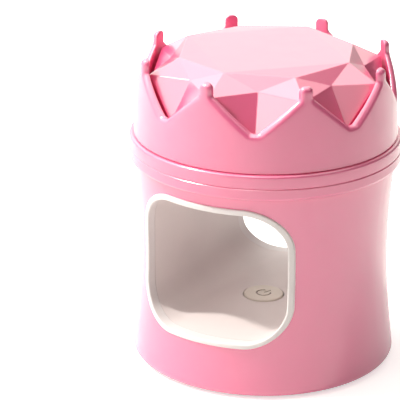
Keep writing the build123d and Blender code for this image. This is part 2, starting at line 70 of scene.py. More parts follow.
# %% Colour helper
def srgb(red, green, blue):
    """Linear colour, with alpha, of a screen colour."""
    def linear(value):
        share = value / 255
        return share / 12.92 if share <= 0.04045 else ((share + 0.055) / 1.055) ** 2.4

    return (linear(red), linear(green), linear(blue), 1.0)


print("mid grey in linear light:", round(srgb(128, 128, 128)[0], 3))

# %% [markdown]
# Moulded plastic
#
# Nearly all that shows is injection moulded. Such a surface is never quite even: the colour drifts a
# little over centimetres, the gloss changes over millimetres where the mould was polished by hand,
# and a fine grain breaks up reflections. Each of these is a noise on object coordinates, so it sits
# still on the piece. One function builds them all, and each finish only names its own amounts. The
# button's symbol is sunk into its top and holds a little ink, so a mask on the same coordinates
# darkens what lies below the top and near the middle.


# %% Plastic builder
def link(tree, source, socket, target, name):
    """Joins one node's output to another node's input."""
    tree.links.new(source.outputs[socket], target.inputs[name])


def math_node(tree, operation, first, second):
    """Math node; each operand is a number or an output socket."""
    node = tree.nodes.new("ShaderNodeMath")
    node.operation = operation
    for socket, value in zip(node.inputs, (first, second)):
        if isinstance(value, (int, float)):
            socket.default_value = value
        else:
            tree.links.new(value, socket)
    return node.outputs[0]


def stretch(tree, socket, low, high, out_low, out_high):
    """Maps a stretch of a socket's values onto a range."""
    node = tree.nodes.new("ShaderNodeMapRange")
    limits = {"From Min": low, "From Max": high, "To Min": out_low, "To Max": out_high}
    for label, value in limits.items():
        node.inputs[label].default_value = value
    tree.links.new(socket, node.inputs["Value"])
    return node.outputs[0]


def noise(tree, coords, size, detail=2.0):
    """Noise whose blotches are about one size across, in metres."""
    node = tree.nodes.new("ShaderNodeTexNoise")
    node.inputs["Scale"].default_value = 1 / size
    node.inputs["Detail"].default_value = detail
    link(tree, coords, "Object", node, "Vector")
    return node


def ramp(tree, source, low, high, out_low, out_high):
    """Maps a stretch of a noise's middle onto a range of values."""
    return stretch(tree, source.outputs["Fac"], low, high, out_low, out_high).node


def blend_colours(tree, factor, socket, first, second):
    """Mix of two colours by a factor."""
    node = tree.nodes.new("ShaderNodeMix")
    node.data_type = "RGBA"
    node.inputs["A"].default_value = first
    node.inputs["B"].default_value = second
    tree.links.new(factor.outputs[socket], node.inputs["Factor"])
    return node


def colour_out(mix):
    """The colour output of a Mix node, which shares its name with others."""
    return [socket for socket in mix.outputs if socket.type == "RGBA"][0]


def surface(name):
    """New material, with its tree, its shader and object coordinates."""
    material = bpy.data.materials.new(name)
    material.use_nodes = True
    tree = material.node_tree
    shader = tree.nodes["Principled BSDF"]
    coords = tree.nodes.new("ShaderNodeTexCoord")
    return material, tree, shader, coords


def plastic(name, light, deep, gloss, coat=0.0, shine=0.5, clear=1.5, drift=0.03, grain=0.0012,
            depth=0.000003, strength=0.06):
    """Moulded plastic: two near colours, a range of roughness, a clear top and a fine grain."""
    material, tree, shader, coords = surface(name)
    broad = ramp(tree, noise(tree, coords, drift), 0.35, 0.65, 0.0, 1.0)
    tint = blend_colours(tree, broad, "Result", light, deep)
    tree.links.new(colour_out(tint), shader.inputs["Base Color"])
    sheen = ramp(tree, noise(tree, coords, drift / 5), 0.3, 0.7, gloss[0], gloss[1])
    link(tree, sheen, "Result", shader, "Roughness")
    bump = tree.nodes.new("ShaderNodeBump")
    bump.inputs["Strength"].default_value = strength
    bump.inputs["Distance"].default_value = depth
    link(tree, noise(tree, coords, grain, 3.0), "Fac", bump, "Height")
    link(tree, bump, "Normal", shader, "Normal")
    shader.inputs["Specular IOR Level"].default_value = shine
    shader.inputs["Coat Weight"].default_value = coat
    shader.inputs["Coat Roughness"].default_value = 0.2
    shader.inputs["Coat IOR"].default_value = clear
    return material


def ink_under(material, piece, depth, reach, ink):
    """Inks what lies deeper than a depth under a piece's top, within a reach of the upright axis."""
    tree = material.node_tree
    shader = tree.nodes["Principled BSDF"]
    coords = [node for node in tree.nodes if node.type == "TEX_COORD"][0]
    flat = tree.nodes.new("ShaderNodeVectorMath")
    flat.operation = "MULTIPLY"
    flat.inputs[1].default_value = (1, 1, 0)
    link(tree, coords, "Object", flat, 0)
    away = tree.nodes.new("ShaderNodeVectorMath")
    away.operation = "LENGTH"
    link(tree, flat, "Vector", away, 0)
    place = tree.nodes.new("ShaderNodeSeparateXYZ")
    link(tree, coords, "Object", place, "Vector")
    top = max(vertex.co.z for vertex in piece.data.vertices)
    near = math_node(tree, "LESS_THAN", away.outputs["Value"], reach)
    sunk = math_node(tree, "LESS_THAN", place.outputs["Z"], top - depth)
    both = math_node(tree, "MULTIPLY", near, sunk)
    plain = shader.inputs["Base Color"].links[0].from_socket
    mix = blend_colours(tree, both.node, "Value", ink, ink)
    tree.links.new(plain, [socket for socket in mix.inputs if socket.type == "RGBA"][0])
    tree.links.new(colour_out(mix), shader.inputs["Base Color"])


pink_shell = plastic("pink_shell", srgb(242, 99, 152), srgb(240, 96, 149), (0.38, 0.41),
                     coat=1.0, shine=1.0, clear=1.85)
pink_cap = plastic("pale_pink_cap", srgb(243, 95, 146), srgb(241, 92, 143), (0.29, 0.32),
                   coat=1.0, shine=1.0, clear=2.0)
white_liner = plastic("white_liner", srgb(241, 230, 231), srgb(237, 226, 227), (0.42, 0.52), drift=0.02)
white_rim = plastic("white_rim", srgb(245, 237, 240), srgb(241, 234, 236), (0.38, 0.46),
                    coat=0.1, drift=0.02)
button_white = plastic("button_white", srgb(236, 226, 216), srgb(232, 222, 212), (0.36, 0.44), drift=0.006)
ink_depth = 0.1 * MM
ink_reach = 4.0 * MM
ink_under(button_white, nodes["power_button"], ink_depth, ink_reach, srgb(172, 156, 147))
pink_base = plastic("pink_base", srgb(236, 138, 166), srgb(232, 132, 161), (0.5, 0.6), depth=0.00001)
rubber_feet = plastic("rubber_feet", srgb(226, 220, 220), srgb(218, 212, 212), (0.7, 0.8), drift=0.006)
black_plastic = plastic("black_plastic", srgb(34, 34, 36), srgb(28, 28, 30), (0.45, 0.6), drift=0.004)
foam_tape = plastic("foam_tape", srgb(232, 232, 228), srgb(218, 218, 214), (0.8, 0.9), drift=0.003,
                    grain=0.0008, depth=0.00008, strength=0.8)
red_wire = plastic("wire_insulation", srgb(186, 40, 38), srgb(176, 34, 33), (0.35, 0.45), drift=0.01)
print("plastic finishes made:", len(bpy.data.materials))

# %% [markdown]
# Metal, boards and lenses
#
# Plated steel is told from plastic by its metallic shader and fine scratches that run one way: a
# noise that is stretched along one axis. A circuit board is glass cloth under coloured lacquer, so
# its weave shows as a faint regular wave. The lamp chips have a yellow phosphor under a clear lens.


# %% Metal, boards and lenses
def stretched(tree, coords, scale):
    """Object coordinates scaled by its own amount along each axis."""
    node = tree.nodes.new("ShaderNodeMapping")
    node.inputs["Scale"].default_value = scale
    link(tree, coords, "Object", node, "Vector")
    return node


def metal(name, light, deep, gloss, scratch=(900.0, 900.0, 9000.0)):
    """Plated or foil metal, with scratches that run one way."""
    material, tree, shader, coords = surface(name)
    lines = tree.nodes.new("ShaderNodeTexNoise")
    lines.inputs["Scale"].default_value = 1.0
    lines.inputs["Detail"].default_value = 3.0
    link(tree, stretched(tree, coords, scratch), "Vector", lines, "Vector")
    tint = blend_colours(tree, ramp(tree, lines, 0.3, 0.7, 0.0, 1.0), "Result", light, deep)
    tree.links.new(colour_out(tint), shader.inputs["Base Color"])
    link(tree, ramp(tree, lines, 0.3, 0.7, gloss[0], gloss[1]), "Result", shader, "Roughness")
    shader.inputs["Metallic"].default_value = 1.0
    return material


def board(name, light, deep, weave=0.0005):
    """Lacquered circuit board with the weave of its glass cloth."""
    material, tree, shader, coords = surface(name)
    threads = tree.nodes.new("ShaderNodeTexWave")
    threads.inputs["Scale"].default_value = 1 / (weave * 20)
    threads.inputs["Distortion"].default_value = 0.4
    link(tree, coords, "Object", threads, "Vector")
    tint = blend_colours(tree, threads, "Fac", light, deep)
    tree.links.new(colour_out(tint), shader.inputs["Base Color"])
    sheen = ramp(tree, noise(tree, coords, 0.004), 0.3, 0.7, 0.3, 0.42)
    link(tree, sheen, "Result", shader, "Roughness")
    shader.inputs["Coat Weight"].default_value = 0.4
    return material


steel = metal("steel_screws", srgb(214, 214, 218), srgb(196, 196, 201), (0.28, 0.36))
socket_steel = metal("socket_steel", srgb(208, 209, 213), srgb(192, 193, 198), (0.28, 0.38))
cell_foil = metal("cell_foil", srgb(212, 214, 218), srgb(198, 200, 205), (0.32, 0.46),
                  scratch=(300.0, 2400.0, 300.0))
green_board = board("green_board", srgb(34, 112, 70), srgb(28, 100, 62))
white_board = board("white_board", srgb(238, 237, 232), srgb(230, 229, 224))
lamp_lens = plastic("lamp_lens", srgb(244, 236, 190), srgb(238, 226, 168), (0.08, 0.14),
                    coat=1.0, drift=0.002)
print("finishes made:", len(bpy.data.materials))

# %% [markdown]
# A finish for every piece
#
# Each solid of the frame gets its finish by name. The record of the part names a slot for each piece,
# and the finishes above carry the same names; a short loop pairs them through a table of those names.

# %% Dress the frame
slot_of = {row["node"]: row["material_slot"] for row in frame["record"]["subparts"]}
finish_of = {
    "pink_shell": pink_shell, "pale_pink_cap": pink_cap, "white_liner": white_liner, "white_rim": white_rim,
    "button_white": button_white, "pink_base": pink_base, "rubber_feet": rubber_feet, "steel_screws": steel,
    "green_board": green_board, "white_board": white_board, "lamp_lens": lamp_lens,
    "black_plastic": black_plastic, "foam_tape": foam_tape, "cell_foil": cell_foil,
    "wire_insulation": red_wire, "socket_steel": socket_steel,
}
for name, node in nodes.items():
    for place in range(max(1, len(node.material_slots))):
        node.material_slots[place].material = finish_of[slot_of[name]]
print("nodes dressed:", len(slot_of))

# %% [markdown]
# Copies by a rule
#
# A crown has one spike, eight times; the lamp board has one chip, nine times. Geometry Nodes make such
# copies from one blank. The tree places points, turns a copy of the blank onto each, makes the copies
# real, welds the seams where neighbours meet, and sets the material. Its inputs have names, so one
# tree serves every ring and another serves every grid.


# %% Trees for rings and grids
def new_tree(name, inputs):
    """Geometry tree with named inputs; returns the tree and its first and last nodes."""
    tree = bpy.data.node_groups.new(name, "GeometryNodeTree")
    tree.interface.new_socket("Blank", in_out="INPUT", socket_type="NodeSocketGeometry")
    for label, kind in inputs:
        tree.interface.new_socket(label, in_out="INPUT", socket_type=kind)
    tree.interface.new_socket("Copies", in_out="OUTPUT", socket_type="NodeSocketGeometry")
    return tree, tree.nodes.new("NodeGroupInput"), tree.nodes.new("NodeGroupOutput")


def make_real(tree, start, end, copies):
    """Ends a tree: real meshes, welded seams and the material."""
    real = tree.nodes.new("GeometryNodeRealizeInstances")
    weld = tree.nodes.new("GeometryNodeMergeByDistance")
    paint = tree.nodes.new("GeometryNodeSetMaterial")
    tree.links.new(copies, real.inputs["Geometry"])
    tree.links.new(real.outputs["Geometry"], weld.inputs["Geometry"])
    tree.links.new(start.outputs["Weld"], weld.inputs["Distance"])
    tree.links.new(weld.outputs["Geometry"], paint.inputs["Geometry"])
    tree.links.new(start.outputs["Finish"], paint.inputs["Material"])
    tree.links.new(paint.outputs["Geometry"], end.inputs["Copies"])


def ring_tree():
    """Copies of the blank turned round the upright axis."""
    tree, start, end = new_tree("ring_of_copies", [
        ("Count", "NodeSocketInt"), ("Weld", "NodeSocketFloat"), ("Finish", "NodeSocketMaterial")])
    points = tree.nodes.new("GeometryNodePoints")
    tree.links.new(start.outputs["Count"], points.inputs["Count"])
    index = tree.nodes.new("GeometryNodeInputIndex").outputs[0]
    step = math_node(tree, "DIVIDE", math.tau, start.outputs["Count"])
    turn = tree.nodes.new("ShaderNodeCombineXYZ")
    tree.links.new(math_node(tree, "MULTIPLY", index, step), turn.inputs["Z"])
    place = tree.nodes.new("GeometryNodeInstanceOnPoints")
    tree.links.new(points.outputs[0], place.inputs["Points"])
    tree.links.new(start.outputs["Blank"], place.inputs["Instance"])
    tree.links.new(turn.outputs[0], place.inputs["Rotation"])
    make_real(tree, start, end, place.outputs[0])
    return tree


def grid_tree():
    """Copies of the blank on a level grid of points, centred on the upright axis."""
    tree, start, end = new_tree("grid_of_copies", [
        ("Columns", "NodeSocketInt"), ("Rows", "NodeSocketInt"), ("Width", "NodeSocketFloat"),
        ("Depth", "NodeSocketFloat"), ("Weld", "NodeSocketFloat"), ("Finish", "NodeSocketMaterial")])
    grid = tree.nodes.new("GeometryNodeMeshGrid")
    pairs = (("Columns", "Vertices X"), ("Rows", "Vertices Y"), ("Width", "Size X"), ("Depth", "Size Y"))
    for label, socket in pairs:
        tree.links.new(start.outputs[label], grid.inputs[socket])
    place = tree.nodes.new("GeometryNodeInstanceOnPoints")
    tree.links.new(grid.outputs["Mesh"], place.inputs["Points"])
    tree.links.new(start.outputs["Blank"], place.inputs["Instance"])
    make_real(tree, start, end, place.outputs[0])
    return tree


ring = ring_tree()
grid = grid_tree()
print("trees made:", ring.name, "and", grid.name)

# %% [markdown]
# From blank to piece
#
# A blank is drawn once in plain mesh code. The function below gives it to a tree, sets the tree's
# inputs, lets other modifiers round its edges, and keeps the outcome as a plain mesh. The modifiers
# are gone before the piece joins the lamp, so nothing is left to change by itself.


# %% Piece maker
def blank_mesh(name, points, faces, smooth=True):
    """Mesh from points and faces, with faces turned outwards."""
    mesh = bpy.data.meshes.new(name)
    mesh.from_pydata(points, [], faces)
    shape = bmesh.new()
    shape.from_mesh(mesh)
    bmesh.ops.remove_doubles(shape, verts=shape.verts, dist=0.002 * MM)
    bmesh.ops.recalc_face_normals(shape, faces=shape.faces)
    for face in shape.faces:
        face.smooth = smooth
    shape.to_mesh(mesh)
    shape.free()
    return mesh


def settle(piece):
    """Turns a piece with modifiers into a plain mesh."""
    graph = bpy.context.evaluated_depsgraph_get()
    final = bpy.data.meshes.new_from_object(piece.evaluated_get(graph), depsgraph=graph)
    piece.modifiers.clear()
    piece.data = final
    final.name = piece.name
    return piece


def set_inputs(modifier, values):
    """Sets a tree's inputs by the identifier behind each name."""
    for item in modifier.node_group.interface.items_tree:
        if item.in_out == "INPUT" and item.name in values:
            modifier[item.identifier] = values[item.name]


def copies(name, mesh, tree, values, rounding=0.0, steps=2, angle=20.0):
    """A piece made of copies of one blank, with its edges rounded if asked."""
    piece = bpy.data.objects.new(name, mesh)
    bpy.context.scene.collection.objects.link(piece)
    modifier = piece.modifiers.new("copies", "NODES")
    modifier.node_group = tree
    set_inputs(modifier, values)
    if rounding:
        bevel = piece.modifiers.new("rounding", "BEVEL")
        bevel.width = rounding
        bevel.segments = steps
        bevel.limit_method = "ANGLE"
        bevel.angle_limit = math.radians(angle)
        bevel.harden_normals = True
    return settle(piece)


def join_lamp(piece, body, *stands_for):
    """Puts a finished piece on its body, in place of the plain solids."""
    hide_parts(*stands_for)
    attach(piece, body)
    triangles = sum(len(face.vertices) - 2 for face in piece.data.polygons)
    print(piece.name, "has", triangles, "triangles")


seam_weld = 0.01 * MM
loose_weld = 0.001 * MM
crease = math.radians(35)
print("helpers ready")

# %% [markdown]
# The crown
#
# The real crown is one moulding: a ring wall cut into eight spikes, each with a small round nub. All
# its rims are fully rounded, which is what catches the light in the photo. The blank is one spike.
# Its outline is sampled from straight lines and arcs, rows of points roll over the rim from the outer
# surface to the inner one, and both surfaces below the rim are filled with even triangles. All of it
# is drawn flat and then laid on the curved wall.

# %% Crown sizes
crown_low, crown_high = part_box("crown_shell")
spikes = 8
wall = 1.9 * MM
foot_radius = 38.9 * MM
middle_radius = 38.3 * MM
tip_radius = 37.5 * MM
middle_share = 0.45
notch_height = 11.4 * MM
notch_round = 1.5 * MM
notch_margin = 0.05 * MM
nub_half = 2.0 * MM
nub_height = 3.7 * MM
nub_round = 1.7 * MM
neck_round = 1.2 * MM
rim_outside = 1.5 * MM
rim_inside = 0.35 * MM
foot_z = crown_low.z
tip_z = crown_high.z
half_step = math.pi / spikes


def crown_radius(z):
    """Outer radius of the crown at a height: a curve through foot, middle and tip."""
    rise = (z - foot_z) / (tip_z - foot_z)
    m = middle_share
    foot_part = (rise - m) * (rise - 1) / m
    middle_part = rise * (rise - 1) / (m * (m - 1))
    tip_part = rise * (rise - m) / (1 - m)
    return foot_radius * foot_part + middle_radius * middle_part + tip_radius * tip_part


print("crown height in mm:", round((tip_z - foot_z) / MM, 1))


# %% Spike outline
def rounded(corners, steps=7):
    """Points along straight runs whose corners are arcs; a corner is x, z and its radius."""
    points = []
    for before, corner, after in zip([None] + corners, corners, corners[1:] + [None]):
        here = Vector(corner[:2])
        if not corner[2]:
            points.append(here)
            continue
        back = (Vector(before[:2]) - here).normalized()
        on = (Vector(after[:2]) - here).normalized()
        half = back.angle(on) / 2
        middle = here + (back + on).normalized() * (corner[2] / math.sin(half))
        reach = corner[2] / math.tan(half)
        first = here + back * reach - middle
        last = here + on * reach - middle
        sweep = first.angle_signed(last)
        points += [middle + Matrix.Rotation(-sweep * k / steps, 2) @ first for k in range(steps + 1)]
    return points


def spike_outline():
    """One spike's rim, from notch to notch."""
    bottom = foot_z + notch_height
    shoulder = tip_z - nub_height
    valley = (crown_radius(bottom) - wall) * math.sin(half_step) - notch_margin
    slope = math.atan2(shoulder - bottom, valley - nub_half)
    toe = valley - notch_round * math.tan(slope / 2)
    left = [(-valley, bottom, 0), (-toe, bottom, notch_round), (-nub_half, shoulder, neck_round),
            (-nub_half, tip_z, nub_round)]
    right = [(-x, z, radius) for x, z, radius in reversed(left)]
    return rounded(left + right)[1:-1]


def dense(points, longest):
    """Adds points so that no run is longer than a given length."""
    result = [points[0]]
    for start, stop in zip(points, points[1:]):
        parts = math.ceil(round((stop - start).length / longest, 3))
        result += [start.lerp(stop, k / parts) for k in range(1, parts + 1)]
    return result


outline_step = 0.8 * MM
outline = dense(spike_outline(), outline_step)
print("points along one spike:", len(outline))


# %% Spike blank
def inwards(points):
    """Unit direction into the wall at each point of the rim."""
    turns = []
    for k in range(len(points)):
        run = points[min(k + 1, len(points) - 1)] - points[max(k - 1, 0)]
        turns.append(Vector((run.y, -run.x)).normalized())
    return turns


def on_wall(point, depth):
    """Point in space for a flat x and z, at a depth inside the crown's outer surface."""
    radius = crown_radius(point.y) - depth
    return (point.x, -math.sqrt(radius ** 2 - point.x ** 2), point.y)


def cut_edge(side, z, depth):
    """Flat point on the plane between two spikes; side is -1 or 1."""
    return Vector((side * (crown_radius(z) - depth) * math.sin(half_step), z))


def rim_row(inset, depth):
    """Row of flat points along the rim, moved into the wall, from one cut plane to the other."""
    low = outline[0].y - inset
    moved = [point + way * inset for point, way in zip(outline, inwards(outline))]
    return [cut_edge(-1, low, depth)] + moved + [cut_edge(1, low, depth)]


def foot_row(depth, z):
    """Row of flat points along the crown's foot."""
    radius = crown_radius(z) - depth
    angles = [half_step * (2 * k / foot_steps - 1) for k in range(foot_steps + 1)]
    return [Vector((radius * math.sin(angle), z)) for angle in angles]


def sheet(rim, depth, low):
    """Even triangles on one side of the wall, from a height near its foot up to a row along the rim."""
    rises = [low + (rim[0].y - low) * k / side_steps for k in range(1, side_steps)]
    left = [cut_edge(-1, z, depth) for z in rises]
    right = [cut_edge(1, z, depth) for z in reversed(rises)]
    border = foot_row(depth, low)[::-1] + left + rim + right
    columns = round(2 * foot_radius * half_step / sheet_step)
    levels = round((tip_z - foot_z) / sheet_step)
    grid_points = [
        Vector(((i - columns / 2) * sheet_step, foot_z + (j + 0.5) * sheet_step))
        for i in range(columns + 1) for j in range(levels)
    ]
    inner = [p for p in grid_points if min((p - b).length for b in border) > border_room]
    ring_edges = [(k, (k + 1) % len(border)) for k in range(len(border))]
    flat, _, faces, *_ = delaunay_2d_cdt(border + inner, ring_edges, [], 1, 0.0001 * MM)
    return [on_wall(point, depth) for point in flat], faces


def strip(first, second):
    """Quads between two rows of as many points."""
    count = len(first)
    return first + second, [(k, k + 1, count + k + 1, count + k) for k in range(count - 1)]


def spike_blank():
    """One spike as a mesh, open only at its two cut planes."""
    quarter = [math.pi / 2 * k / rim_steps for k in range(rim_steps + 1)]
    rows = [(rim_outside * (1 - math.sin(a)), rim_outside * (1 - math.cos(a))) for a in quarter]
    quarter.reverse()
    rows += [(rim_inside * (1 - math.sin(a)), wall - rim_inside * (1 - math.cos(a))) for a in quarter]
    placed = [[on_wall(point, depth) for point in rim_row(inset, depth)] for inset, depth in rows]
    seats = [(0, foot_z + foot_chamfer), (foot_chamfer, foot_z), (wall, foot_z)]
    feet = [[on_wall(point, depth) for point in foot_row(depth, z)] for depth, z in seats]
    parts = [strip(first, second) for rows in (placed, feet) for first, second in zip(rows, rows[1:])]
    parts.append(sheet(rim_row(rim_outside, 0), 0, foot_z + foot_chamfer))
    parts.append(sheet(rim_row(rim_inside, wall), wall, foot_z))
    points = []
    faces = []
    for part_points, part_faces in parts:
        faces += [tuple(len(points) + k for k in face) for face in part_faces]
        points += part_points
    return blank_mesh("spike", points, faces)


rim_steps = 6
foot_steps = 18
foot_chamfer = 0.3 * MM
side_steps = 6
sheet_step = 1.5 * MM
border_room = 0.6 * sheet_step
spike = spike_blank()
print("faces in one spike:", len(spike.polygons))

# %% Crown piece
crown = copies("crown", spike, ring, {"Count": spikes, "Weld": seam_weld, "Finish": pink_shell})
crown.data.set_sharp_from_angle(angle=crease)
join_lamp(crown, "casing", "crown_shell")

# %% [markdown]
# The collar ring
#
# The upper band is a turned part: one outline, carried round the axis. Its upper edge is well rounded
# and draws the bright line under the crown; its lower edge is nearly sharp and draws the dark seam.
# The blank is a thin slice of it, and the tree that made the crown sets the slices side by side.

# %% Collar ring
collar_low, collar_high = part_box("collar_ring")
slices = 120
band_radius = 40.0 * MM
band_low = 65.2 * MM
edge_round = 0.8 * MM
seam_round = 0.3 * MM
spigot_outer = 36.68 * MM
spigot_wall = 1.2 * MM
deck_radius = 32.7 * MM
deck_low = 67.0 * MM
snap_outer = 36.21 * MM
snap_inner = 34.61 * MM


def collar_profile():
    """Section of the ring, as radius and height."""
    return rounded([
        (snap_outer, band_low, 0), (band_radius, band_low, seam_round), (band_radius, foot_z, edge_round),
        (spigot_outer, foot_z, 0), (spigot_outer, collar_high.z, 0),
        (spigot_outer - spigot_wall, collar_high.z, 0), (spigot_outer - spigot_wall, foot_z, 0),
        (deck_radius, foot_z, 0), (deck_radius, deck_low, 0), (snap_inner, deck_low, 0),
        (snap_inner, collar_low.z, 0), (snap_outer, collar_low.z, 0),
    ])


def slice_blank(name, profile):
    """Thin slice of a turned part."""
    half = math.pi / slices
    count = len(profile)
    points = [
        (r * math.sin(side * half), -r * math.cos(side * half), z) for side in (-1, 1) for r, z in profile
    ]
    faces = [(k, (k + 1) % count, count + (k + 1) % count, count + k) for k in range(count)]
    return blank_mesh(name, points, faces)


collar = copies("collar", slice_blank("collar_slice", collar_profile()), ring,
                {"Count": slices, "Weld": seam_weld, "Finish": pink_shell})
collar.data.set_sharp_from_angle(angle=crease)
join_lamp(collar, "casing", "collar_ring")

# %% [markdown]
# The faceted cap
#
# The cap looks like a cut stone: a flat table, a star of small triangles round it and long facets down
# to a zigzag rim. Every second corner of the table lies a little lower, so the pattern repeats four
# times, not eight. The blank is one such quarter, outside and inside, and a small bevel takes the
# sharpness off its edges, as a mould does.

# %% Cap sizes
cap_low, cap_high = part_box("gem_cap")
cap_wall = 1.8 * MM
cap_gap = 0.6 * MM
rim_drop = 5.0 * MM
star_drop = 4.0 * MM
valley_drop = 15.0 * MM
table_dip = 0.6 * MM
star_inset = 7.0 * MM
table_inset = 1.9 * MM
cap_rim = crown_radius(cap_high.z - rim_drop) - wall - cap_gap
print("cap radius in mm:", round(cap_rim / MM, 2))


# %% Cap blank
def around(step, radius, z):
    """Point on the cap, in half spike steps round from the front."""
    angle = half_step * step
    return (radius * math.sin(angle), -radius * math.cos(angle), z)


def quarter_faces(inset):
    """Facets of a quarter of the cap's outside, or of its inside where there is an inset."""
    rim = cap_rim - inset
    star_r = rim - star_inset
    table_r = star_r - table_inset
    top = cap_high.z - inset
    foot = cap_low.z
    table = [around(2 * k, table_r, top - (table_dip if k % 2 else 0)) for k in range(3)]
    star = [around(2 * k + 1, star_r, top - star_drop) for k in range(2)]
    drops = [rim_drop, valley_drop, rim_drop, valley_drop, rim_drop]
    corner = [around(s, rim, top - drop) for s, drop in enumerate(drops)]
    base = [(x, y, foot) for x, y, z in corner]
    faces = [[(0, 0, top), table[0], table[2]], [table[0], table[1], table[2]]]
    for k in range(2):
        faces.append([table[k], table[k + 1], star[k]])
        faces.append([table[k], star[k], corner[2 * k]])
        faces.append([table[k + 1], corner[2 * k + 2], star[k]])
        faces.append([corner[2 * k], star[k], corner[2 * k + 1]])
        faces.append([star[k], corner[2 * k + 2], corner[2 * k + 1]])
    for s in range(4):
        faces.append([corner[s], corner[s + 1], base[s + 1], base[s]])
    return faces, base


def cap_blank():
    """A quarter of the cap, with its wall closed at the foot."""
    outside, outer_foot = quarter_faces(0)
    inside, inner_foot = quarter_faces(cap_wall)
    loops = outside + [list(reversed(loop)) for loop in inside]
    for s in range(4):
        loops.append([outer_foot[s], outer_foot[s + 1], inner_foot[s + 1], inner_foot[s]])
    points = [point for loop in loops for point in loop]
    faces = []
    for loop in loops:
        start = sum(len(face) for face in faces)
        faces.append(tuple(range(start, start + len(loop))))
    return blank_mesh("cap_quarter", points, faces, smooth=False)


cap_edge = 0.22 * MM
cap_inputs = {"Count": spikes // 2, "Weld": seam_weld, "Finish": pink_cap}
cap = copies("faceted_cap", cap_blank(), ring, cap_inputs, rounding=cap_edge, angle=4.0)
join_lamp(cap, "casing", "gem_cap")

# %% [markdown]
# Lamp chips and feet
#
# Small round things are turned too: an outline of radius and height, carried round its own axis. The
# chip is a square base with a clear dome, copied onto the grid's points; a foot stands once in front
# of the axis, and the ring tree turns it round the casing.

# %% Lamp chips
chips_low, chips_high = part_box("led_chips")
chip_side = 3.5 * MM
chip_height = 0.9 * MM
dome_radius = 1.6 * MM
dome_seat = 0.2 * MM
dome_steps = 8
round_steps = 32


def lathe(profile, x=0.0, y=0.0):
    """Points and faces of an outline of radius and height, carried round an upright axis."""
    count = len(profile)
    angles = [math.tau * k / round_steps for k in range(round_steps)]
    points = [(x + r * math.cos(a), y + r * math.sin(a), z) for a in angles for r, z in profile]
    faces = []
    for k in range(round_steps):
        here = k * count
        there = (k + 1) % round_steps * count
        faces += [(here + j, here + j + 1, there + j + 1, there + j) for j in range(count - 1)]
    return points, faces


def chip_blank():
    """One chip: a square base with a dome below it."""
    seat = chips_high.z - chip_height
    drop = seat - chips_low.z
    arc = [math.pi / 2 * k / dome_steps for k in range(dome_steps + 1)]
    profile = [(0, seat + dome_seat), (dome_radius, seat + dome_seat)]
    profile += [(dome_radius * math.cos(a), seat - drop * math.sin(a)) for a in arc]
    points, faces = lathe(profile)
    half = chip_side / 2
    corners = [(x, y, z) for z in (seat, chips_high.z) for x, y in (
        (-half, -half), (half, -half), (half, half), (-half, half))]
    sides = [(0, 1, 2, 3), (4, 5, 6, 7), (0, 1, 5, 4), (1, 2, 6, 5), (2, 3, 7, 6), (3, 0, 4, 7)]
    faces += [tuple(len(points) + k for k in side) for side in sides]
    return blank_mesh("chip", points + corners, faces)


chips = copies("lamp_chips", chip_blank(), grid, {
    "Columns": 3, "Rows": 3, "Width": chips_high.x - chips_low.x - chip_side,
    "Depth": chips_high.y - chips_low.y - chip_side, "Weld": loose_weld, "Finish": lamp_lens})
chips.data.set_sharp_from_angle(angle=crease)
join_lamp(chips, "casing", "led_chips")

# %% Feet
pads_low, pads_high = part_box("foot_pads")
pad_radius = 5.0 * MM
pad_round = 0.45 * MM
pad_place = pads_high.x - pad_radius
pad_profile = rounded([
    (0, pads_low.z, 0), (pad_radius, pads_low.z, pad_round),
    (pad_radius, pads_high.z, 0), (0, pads_high.z, 0),
])
pad_blank = blank_mesh("pad", *lathe(pad_profile, y=-pad_place))
pads = copies("feet", pad_blank, ring, {"Count": 4, "Weld": loose_weld, "Finish": rubber_feet})
pads.data.set_sharp_from_angle(angle=crease)
join_lamp(pads, "casing", "foot_pads")

# %% [markdown]
# Camera
#
# The photo was taken from well above the table and to the right of the front opening, through a long
# lens that keeps the sides of the casing nearly parallel. The camera here stands at the same angle.
# It is turned about its own axis by under a degree, as the photo is, and a small lens shift puts the
# lamp to the right of the picture's middle, where it stands in the photo.

# %% Camera
view_turn = math.radians(27.34)
view_height = math.radians(21.15)
view_distance = 0.68
view_roll = math.radians(0.821)
aim = Vector((0, 0, 0.045))
back = Vector((
    math.sin(view_turn) * math.cos(view_height),
    -math.cos(view_turn) * math.cos(view_height),
    math.sin(view_height),
))
camera_data = bpy.data.cameras.new("camera")
camera_data.lens = 205.44
camera_data.sensor_width = 36
camera_data.shift_x = -0.162
camera_data.shift_y = 0.0152
camera = bpy.data.objects.new("camera", camera_data)
bpy.context.scene.collection.objects.link(camera)
camera.location = aim + back * view_distance
camera.rotation_mode = "QUATERNION"
level_view = (-back).to_track_quat("-Z", "Y")
camera.rotation_quaternion = level_view @ Matrix.Rotation(view_roll, 3, "Z").to_quaternion()
bpy.context.scene.camera = camera
print("camera at", [round(v, 3) for v in camera.location])

# %% [markdown]
# Floor, sky and lamps
#
# The lamp stands on a plain pale floor in a white room. The floor adds a little white of its own where
# it is seen, so that it reads as white while the shadow still shows. The room is dark on its right
# and dim low down at the back, which is what draws the deep pink on the glossy casing and the dark
# facets of the cap. A small key lamp from high on the left throws the sharp edge of light into the
# tunnel, and large soft ones fill the rest. Three panels only show in the gloss, as a photographer's
# white cards do.


# %% Floor and sky
def from_gloss(tree, rays):
    """One for rays from gloss or through glass, nothing for the rest."""
    return math_node(tree, "MAXIMUM", rays["Is Glossy Ray"], rays["Is Transmission Ray"])


def seen_directly(tree, for_camera, for_gloss):
    """One amount for rays from the camera, another from gloss and through glass, none for the rest."""
    rays = tree.nodes.new("ShaderNodeLightPath").outputs
    first = math_node(tree, "MULTIPLY", rays["Is Camera Ray"], for_camera)
    return math_node(tree, "ADD", first, math_node(tree, "MULTIPLY", from_gloss(tree, rays), for_gloss))


